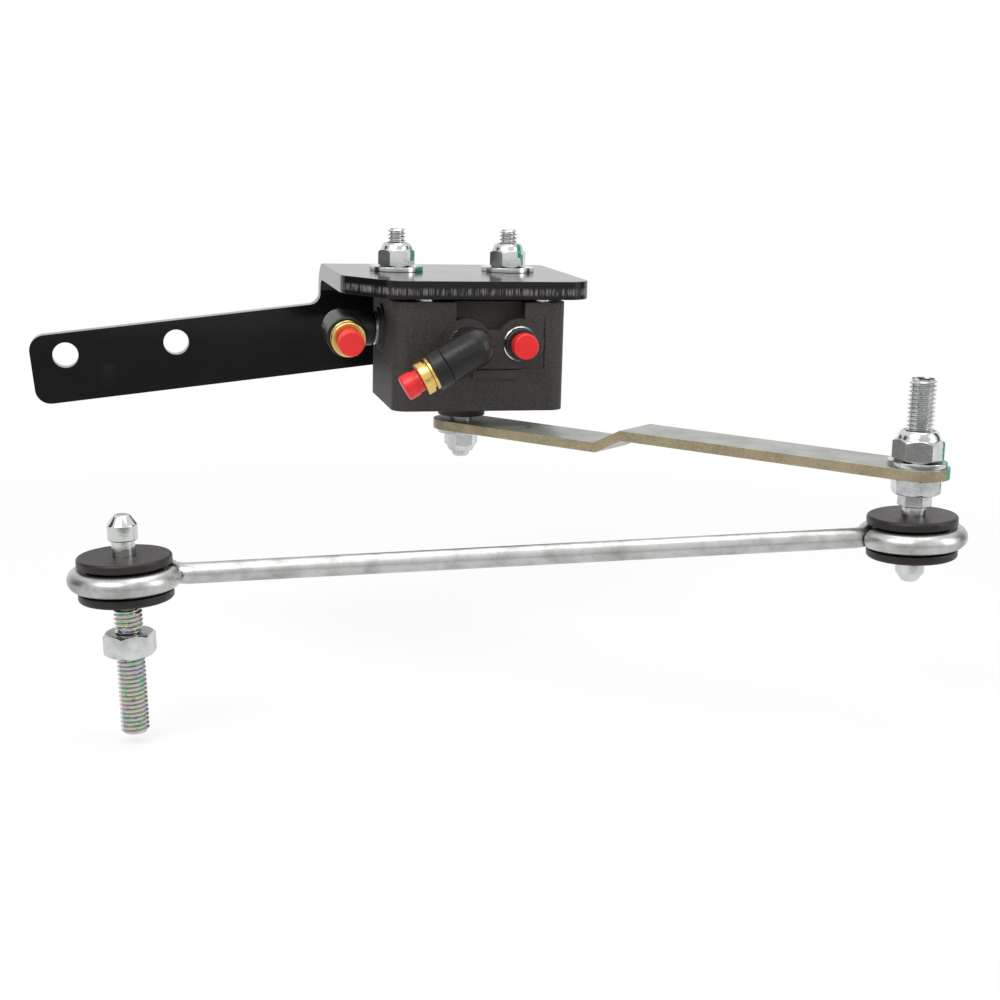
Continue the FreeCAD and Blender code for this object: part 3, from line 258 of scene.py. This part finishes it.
rubberFinish = {"shades": ((0.01, 0.0068, 0.0068, 1), (0.026, 0.0185, 0.0185, 1)), "cloud": (240, 4), "rough": 0.3,
                "grain": (900, 3), "bump": 0.3, "depth": 0.0003}
capFinish = {"shades": ((0.68, 0.012, 0.014, 1), (0.84, 0.022, 0.026, 1)), "cloud": (160, 3), "rough": 0.3,
             "grain": (500, 3), "bump": 0.2, "depth": 0.0003}
elbowFinish = {"shades": ((0.008, 0.0075, 0.0075, 1), (0.018, 0.016, 0.015, 1)), "cloud": (150, 3), "rough": 0.24,
               "grain": (1100, 3), "bump": 0.25, "depth": 0.0003}
brassFinish = {"shades": ((0.83, 0.6, 0.2, 1), (0.62, 0.42, 0.13, 1)), "cloud": (260, 4), "rough": 0.16,
               "grain": (1300, 2), "bump": 0.15, "depth": 0.0002}
nylonFinish = {"shades": ((0.62, 0.62, 0.58, 1), (0.465, 0.465, 0.435, 1)), "cloud": (300, 3), "rough": 0.3,
               "grain": (900, 2), "bump": 0.15, "depth": 0.0002}
acetalFinish = {"shades": ((0.02, 0.02, 0.02, 1), (0.015, 0.015, 0.015, 1)), "cloud": (300, 3), "rough": 0.2,
                "grain": (900, 2), "bump": 0.15, "depth": 0.0002}


# Two shades in a soft cloud, under a fine grain.
def clouded(name, finish, **settings):
    look = Look(name, **settings)
    cloud = look.noise(*finish["cloud"])
    look.into("Base Color", look.mixed(cloud, *finish["shades"]))
    look.into("Roughness", cloud * 0.2 + finish["rough"])
    look.bump(look.noise(*finish["grain"]), finish["bump"], finish["depth"])
    return look.material


chromateFinish = {"from": -0.0525, "pale": (0.6, 0.62, 0.6, 1), "speckle": (0.2, 0.19, 0.18, 1),
                  "tints": [(0.34, (0.34, 0.5, 0.44, 1)), (0.44, (0.52, 0.56, 0.42, 1)),
                            (0.52, (0.58, 0.47, 0.53, 1)), (0.6, (0.46, 0.49, 0.6, 1)),
                            (0.7, (0.42, 0.54, 0.42, 1))]}


# Blue zinc on the pin, and a chromate on the thread that turns pale green, pink and yellow.
def chromate():
    look = Look("iridescent_chromate", Metallic=1)
    cloud = look.noise(1.0, 2, 0.5, look.stretched((240, 240, 330)))
    worn = look.noise(900, 2).step(0.6, 0.68) * 0.7
    thread = look.axis("Z") < chromateFinish["from"]
    plated = look.mixed(thread, chromateFinish["pale"], look.ramp(cloud, chromateFinish["tints"]))
    look.into("Base Color", look.mixed(worn * thread, plated, chromateFinish["speckle"]))
    look.into("Roughness", cloud * 0.15 + 0.1)
    look.bump(look.noise(1300, 2), 0.12, 0.0002)
    return look.material


def placed(name, bm, material):
    mesh = bpy.data.meshes.new(name)
    bm.to_mesh(mesh)
    bm.free()
    mesh.materials.append(material)
    thing = bpy.data.objects.new(name, mesh)
    bpy.context.collection.objects.link(thing)
    return thing


def slotOf(node):
    return next(part["material_slot"] for part in frame["record"]["subparts"] if part["node"] == node)


# The piece that is shown in place of one CAD node. Edges over sharp degrees stay crisp in its shading.
def finished(name, bm, node, material, sharp=40):
    for face in bm.faces:
        face.smooth = True
    for edge in bm.edges:
        edge.smooth = len(edge.link_faces) == 2 and edge.calc_face_angle(0) < math.radians(sharp)
    piece = placed(name, bm, material)
    weighted = piece.modifiers.new("weighted", "WEIGHTED_NORMAL")
    weighted.keep_sharp = True
    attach(piece, bodyOf[node])
    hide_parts(node)
    slotOf(node)


rounding = {"merge": 1e-6, "flat within": 0.6, "corner from": 35}  # metres and degrees


# A CAD node with its sharp edges rounded, as a casting, pressing or moulding has.
def rounded(node, width, material, segments=2, sharp=40):
    bm = bmesh.new()
    bm.from_mesh(nodes[node].data)
    bmesh.ops.remove_doubles(bm, verts=bm.verts, dist=rounding["merge"])
    flat, corner = math.radians(rounding["flat within"]), math.radians(rounding["corner from"])
    bmesh.ops.dissolve_limit(bm, angle_limit=flat, verts=bm.verts, edges=bm.edges)
    if width:
        edges = [edge for edge in bm.edges if len(edge.link_faces) == 2 and edge.calc_face_angle(0) > corner]
        bmesh.ops.bevel(bm, geom=edges, offset=width * mm, offset_type="OFFSET", segments=segments, profile=0.5,
                        affect="EDGES", clamp_overlap=True, material=-1)
    finished(node + "_shaped", bm, node, material, sharp)


def profile(bm, corners):  # radius and height of each corner, in mm
    verts = [bm.verts.new((r * mm, 0, z * mm)) for r, z in corners]
    return verts + [bm.edges.new(pair) for pair in zip(verts, verts[1:])]


def spun(bm, corners, steps=64):
    bmesh.ops.spin(bm, geom=profile(bm, corners), cent=(0, 0, 0), axis=(0, 0, 1), angle=math.tau, steps=steps,
                   use_merge=True)
    bmesh.ops.remove_doubles(bm, verts=bm.verts, dist=1e-6)


def joinInto(bm, part):
    mesh = bpy.data.meshes.new("part")
    part.to_mesh(mesh)
    part.free()
    bm.from_mesh(mesh)
    bpy.data.meshes.remove(mesh)


# depth and flat are shares of the pitch, and taper is the rise for each mm from an end
thread = {"depth": 0.6134, "flat": 0.125, "taper": 1.2, "steps": 40}


# A rolled thread between two heights, with both ends tapered down to its root.
def threaded(bm, major, pitch, low, high):
    root = major - thread["depth"] * pitch
    flat = thread["flat"] * pitch
    shape = [(root, 0), (root, flat), (major, pitch / 2 - flat / 2), (major, pitch / 2 + flat / 2),
             (root, pitch - flat), (root, pitch)]
    turns = math.ceil((high - low) / pitch) + 2
    part = bmesh.new()
    start = profile(part, [(r, z + low - pitch) for r, z in shape])
    bmesh.ops.spin(part, geom=start, cent=(0, 0, 0), axis=(0, 0, 1), angle=math.tau * turns,
                   steps=thread["steps"] * turns, dvec=(0, 0, pitch * mm / thread["steps"]))
    bmesh.ops.remove_doubles(part, verts=part.verts, dist=2e-6)
    for at, way in ((low, -1), (high, 1)):
        cut = bmesh.ops.bisect_plane(part, geom=part.verts[:] + part.edges[:] + part.faces[:],
                                     plane_co=(0, 0, at * mm), plane_no=(0, 0, way), clear_outer=True)
        bmesh.ops.edgeloop_fill(part, edges=[e for e in cut["geom_cut"] if isinstance(e, bmesh.types.BMEdge)])
    for vert in part.verts:
        radius = math.hypot(vert.co.x, vert.co.y)
        inwards = min(vert.co.z / mm - low, high - vert.co.z / mm)
        most = (root + max(0, inwards) * thread["taper"]) * mm
        if radius > most:
            vert.co.x *= most / radius
            vert.co.y *= most / radius
    bmesh.ops.recalc_face_normals(part, faces=part.faces)
    joinInto(bm, part)


hexRound = 0.25


def hexagon(bm, across, low, high):
    corner = across / math.sqrt(3) * mm
    made = bmesh.ops.create_cone(bm, cap_ends=True, segments=6, radius1=corner, radius2=corner,
                                 depth=(high - low) * mm, matrix=Matrix.Translation((0, 0, (low + high) / 2 * mm)))
    edges = {edge for vert in made["verts"] for edge in vert.link_edges}
    bmesh.ops.bevel(bm, geom=list(edges), offset=hexRound * mm, offset_type="OFFSET", segments=2, profile=0.5,
                    affect="EDGES", material=-1)


pin = {"radius": 3.3, "head radius": 4.2, "head length": 7.2, "chamfer": 2.8, "tip radius": 2.45,
       "collar radius": 3.5, "collar height": 2.0}


# The pin that snaps through the rubber, from its top down: heights in mm from the eye's middle.
def snapPin(headLow, shoulder):
    narrow, wide, tip = pin["radius"], pin["head radius"], pin["tip radius"]
    top = headLow + pin["head length"]
    slope = top - pin["chamfer"]
    collar = shoulder - pin["collar height"]
    return [(0, top), (tip - 0.5, top), (tip, top - 0.3), (wide - 0.1, slope + 0.2), (wide, slope - 0.1),
            (wide, headLow + 0.5), (wide - 0.2, headLow + 0.25), (narrow, headLow), (narrow, shoulder),
            (pin["collar radius"], shoulder), (pin["collar radius"], collar), (narrow, collar - 0.3)]


studThread = {"radius": 4.0, "pitch": 1.25}
leverStud = {"eye": (222.9134, -182.8858, -33.4), "head low": 6.5, "shoulder": -6.5, "hex low": -12.5,
             "hex height": 3.7, "hex across": 8.7, "end": -46.3}


def leverStudPiece(material):
    bm = bmesh.new()
    low, high = leverStud["hex low"], leverStud["hex low"] + leverStud["hex height"]
    spun(bm, snapPin(leverStud["head low"], leverStud["shoulder"]) + [(pin["radius"], high + 0.01), (0, high)])
    hexagon(bm, leverStud["hex across"], low, high)
    threaded(bm, studThread["radius"], studThread["pitch"], leverStud["end"], low)
    bmesh.ops.transform(bm, verts=bm.verts, matrix=Matrix.Translation(Vector(leverStud["eye"]) * mm)
                        @ Matrix.Rotation(math.pi, 4, "X"))
    finished("lever_stud_turned", bm, "lever_stud", material, 50)


axleStud = {"eye": (-2.7116, -162.3523, -43.8863), "head low": 10.4, "shoulder": -6.5, "pin end": -8.8,
            "thread from": -8.7, "end": -45.0, "heading": 174.8, "tilt": 2.65}


# The axle's stud stands as the link does, so it takes the link's heading and tilt.
def axleStudPiece(material):
    bm = bmesh.new()
    spun(bm, snapPin(axleStud["head low"], axleStud["shoulder"]) + [(0, axleStud["pin end"])])
    threaded(bm, studThread["radius"], studThread["pitch"], axleStud["end"], axleStud["thread from"])
    linkTurn = (Matrix.Rotation(math.radians(axleStud["heading"]), 4, "Z")
                @ Matrix.Rotation(math.radians(axleStud["tilt"]), 4, "Y"))
    bmesh.ops.transform(bm, verts=bm.verts, matrix=Matrix.Translation(Vector(axleStud["eye"]) * mm) @ linkTurn)
    finished("axle_stud_turned", bm, "axle_stud", material, 50)


bolt = {"x": (93.3, 132.9), "y": -38.7, "plate": 31.1, "thread from": -8, "end": 14.5, "radius": 3.175,
        "pitch": 1.27, "head": (-43.1, -39.1), "across": 11.1}


def boltPieces(material):
    bm = bmesh.new()
    radius, shank, under = bolt["radius"], bolt["thread from"], bolt["head"][1]
    for x in bolt["x"]:
        one = bmesh.new()
        spun(one, [(0, shank), (radius, shank), (radius, under), (0, under)], 40)
        hexagon(one, bolt["across"], *bolt["head"])
        threaded(one, radius, bolt["pitch"], shank, bolt["end"])
        bmesh.ops.transform(one, verts=one.verts,
                            matrix=Matrix.Translation((x * mm, bolt["y"] * mm, bolt["plate"] * mm)))
        joinInto(bm, one)
    finished("body_bolts_threaded", bm, "body_bolts", material, 50)


print("materials")
coat, moulding, soft = bracketCoat(), valveMoulding(), clouded("black_rubber", rubberFinish, Specular_IOR_Level=0.32)
red = clouded("red_cap_plastic", capFinish, Specular_IOR_Level=0.5)
fitting = clouded("elbow_moulding", elbowFinish, Specular_IOR_Level=0.3)
ringBrass = clouded("bright_brass", brassFinish, Metallic=1)
nylon = clouded("nylon", nylonFinish)
release = clouded("black_acetal", acetalFinish)
zinc = brightZinc("bright_zinc")
zincMarkedTop = brightZinc("bright_zinc_marked", paintMarks["bolts"])
zincMarkedStud = brightZinc("bright_zinc_stud_nuts", paintMarks["stud"])
rodZinc = brightZinc("rod_zinc", (), zincFinish["rod"], zincFinish["rod dull"], zincFinish["rod rough"])
leverMetal = leverZinc(paintMarks["lever"])

print("bracket and housing")
rounded("mounting_bracket", 0.7, coat, 3)
rounded("valve_body", 0.3, moulding)
rounded("lower_housing", 0.35, moulding)

print("fasteners")
rounded("bolt_washers", 0.2, zincMarkedTop)
rounded("bolt_locknuts", 0.15, zincMarkedTop)
rounded("stud_locknut", 0.18, zincMarkedStud)
rounded("stud_jam_nut", 0.18, zincMarkedStud)
rounded("stud_washer", 0.2, zincMarkedStud)
rounded("axle_nut", 0.18, zinc)
rounded("lever_locknut", 0.15, zinc)
rounded("lever_washer", 0.2, zinc)
boltPieces(zinc)
leverStudPiece(zinc)
axleStudPiece(chromate())

print("lever and link")
rounded("control_lever", 0.35, leverMetal, 3)
rounded("link_rod", 0, rodZinc, sharp=60)
rounded("lever_bushing", 0.3, soft)
rounded("axle_bushing", 0.3, soft)

print("ports")
for side in ("front_elbow", "side_elbow"):
    rounded(side, 0.3, fitting)
    rounded(side + "_cartridge", 0.15, ringBrass)
    rounded(side + "_collet", 0.12, ringBrass)
    rounded(side + "_plug", 0.2, red)
rounded("right_port_collet", 0.12, release)
rounded("right_port_plug", 0.2, red)

print("the rest of the CAD nodes")
slotLooks = {"steel": zinc, "nylon": nylon, "bronze": ringBrass, "ceramic": nylon, "rubber": soft,
             "zinc_steel": zinc}
for name, node in nodes.items():
    if slotOf(name) in slotLooks:
        node.data.materials.clear()
        node.data.materials.append(slotLooks[slotOf(name)])

print("stage")
floorFinish = {"height": -92, "reach": 6, "middle": (0.1, -0.1), "near": 0.86, "far": 0.5, "rough": 0.7}
floorHeight = floorFinish["height"] * mm


# 1 for a ray from the camera, and for its mirror image in metal.
def seenDirectly(look):
    rays = [look.add("ShaderNodeLightPath", output=f"Is {kind} Ray") for kind in ("Camera", "Glossy", "Transmission")]
    return (rays[0] + rays[1] + rays[2]).clamped()


# Pale to the eye everywhere, and plain white away from the part, where it also hides its far edge.
def floorLook():
    look = Look("pale_floor", Roughness=floorFinish["rough"])
    middle = (*floorFinish["middle"], floorHeight)
    away = look.add("ShaderNodeVectorMath", {"operation": "DISTANCE"}, {0: look.place, 1: middle}, "Value")
    look.into("Base Color", look.mixed(away.step(0.1, 0.42), grey(floorFinish["near"]), grey(floorFinish["far"])))
    glow = look.add("ShaderNodeEmission", {}, {"Color": (1, 1, 1, 1)})
    share = seenDirectly(look) * (away.step(0.12, 0.42) * 0.22 + 0.78)
    lit = Wire(look, look.shader.outputs[0])
    blend = look.add("ShaderNodeMixShader", {}, {0: share, 1: lit, 2: glow})
    look.tree.links.new(blend.socket, look.tree.nodes["Material Output"].inputs["Surface"])
    return look.material


def grid(size):
    bm = bmesh.new()
    bmesh.ops.create_grid(bm, x_segments=1, y_segments=1, size=size)
    return bm


ground = grid(floorFinish["reach"])
bmesh.ops.translate(ground, verts=ground.verts, vec=(0, 0, floorHeight))
placed("floor", ground, floorLook())


# White to the camera. To everything else a dim room with a bright ceiling, so metal shows dark bands.
def studio():
    world = bpy.data.worlds.new("studio")
    bpy.context.scene.world = world
    look = Look("studio", world, Color=(1, 1, 1, 1))
    high, back = look.axis("Z"), look.axis("Y")
    room = high.step(0.25, 0.8) * 0.75 + back.step(0.2, 0.9) * (1 - high.step(0.3, 0.8)) * 0.4 + 0.1
    seen = seenDirectly(look)
    look.into("Strength", room * (1 - seen) + seen)


studio()

cards = {"front_card": {"size": (1.6, 0.42), "place": (0.1, -0.63, floorHeight + 0.002), "lean": 0, "turn": 0},
         "left_card": {"size": (0.5, 0.9), "place": (-0.85, 0.15, 0.2), "lean": 90, "turn": 70},
         "right_card": {"size": (0.35, 0.9), "place": (1.05, -0.05, 0.2), "lean": 90, "turn": -80}}


# Dark cards out of the picture, which metal needs round it to show its form.
def card(name, size, place, lean, turn):
    bm = grid(0.5)
    turned = Matrix.Rotation(math.radians(turn), 4, "Z") @ Matrix.Rotation(math.radians(lean), 4, "X")
    bmesh.ops.transform(bm, verts=bm.verts, matrix=Matrix.Translation(place) @ turned @ Matrix.Diagonal((*size, 1, 1)))
    thing = placed(name, bm, Look(name, Base_Color=grey(0.04), Roughness=0.8).material)
    thing.visible_camera = False
    thing.visible_shadow = False


for name, values in cards.items():
    card(name, **values)

lampTarget = Vector((0.1, -0.1, 0))
lamps = {"key": {"size": (0.8, 0.5), "energy": 8, "place": (-0.5, -0.7, 0.85)},
         "top": {"size": (1.1, 0.7), "energy": 5, "place": (0.25, -0.1, 1.1)},
         "fill": {"size": (0.3, 0.8), "energy": 3, "place": (0.95, -0.65, 0.35)}}


def lamp(name, size, energy, place):
    light = bpy.data.lights.new(name, "AREA")
    light.shape = "RECTANGLE"
    light.size, light.size_y = size
    light.energy = energy
    thing = bpy.data.objects.new(name, light)
    thing.location = place
    thing.rotation_euler = (lampTarget - Vector(place)).to_track_quat("-Z", "Y").to_euler()
    bpy.context.collection.objects.link(thing)


for name, values in lamps.items():
    lamp(name, **values)

view = {"place": (-11.15, -650.59, 80.55), "yaw": 13.2, "pitch": 11.84, "roll": 1.47, "lens": 63.97, "sensor": 36,
        "nearest": 0.01}


# The camera of the photograph, fitted to it: yaw to the right, pitch downwards, roll to the right.
def photographCamera():
    yaw, pitch, roll = (math.radians(view[key]) for key in ("yaw", "pitch", "roll"))
    ahead = Vector((math.sin(yaw) * math.cos(pitch), math.cos(yaw) * math.cos(pitch), -math.sin(pitch)))
    level = Vector((math.cos(yaw), -math.sin(yaw), 0))
    upright = level.cross(ahead)
    across = level * math.cos(roll) + upright * math.sin(roll)
    above = upright * math.cos(roll) - level * math.sin(roll)
    camera = bpy.data.objects.new("camera", bpy.data.cameras.new("camera"))
    camera.data.lens = view["lens"]
    camera.data.sensor_width = view["sensor"]
    camera.data.clip_start = view["nearest"]
    turned = Matrix((across, above, -ahead)).transposed().to_4x4()
    camera.matrix_world = Matrix.Translation(Vector(view["place"]) * mm) @ turned
    bpy.context.collection.objects.link(camera)
    bpy.context.scene.camera = camera


photographCamera()
bpy.context.scene.view_settings.view_transform = "Standard"

bpy.context.view_layer.update()
print("finished")
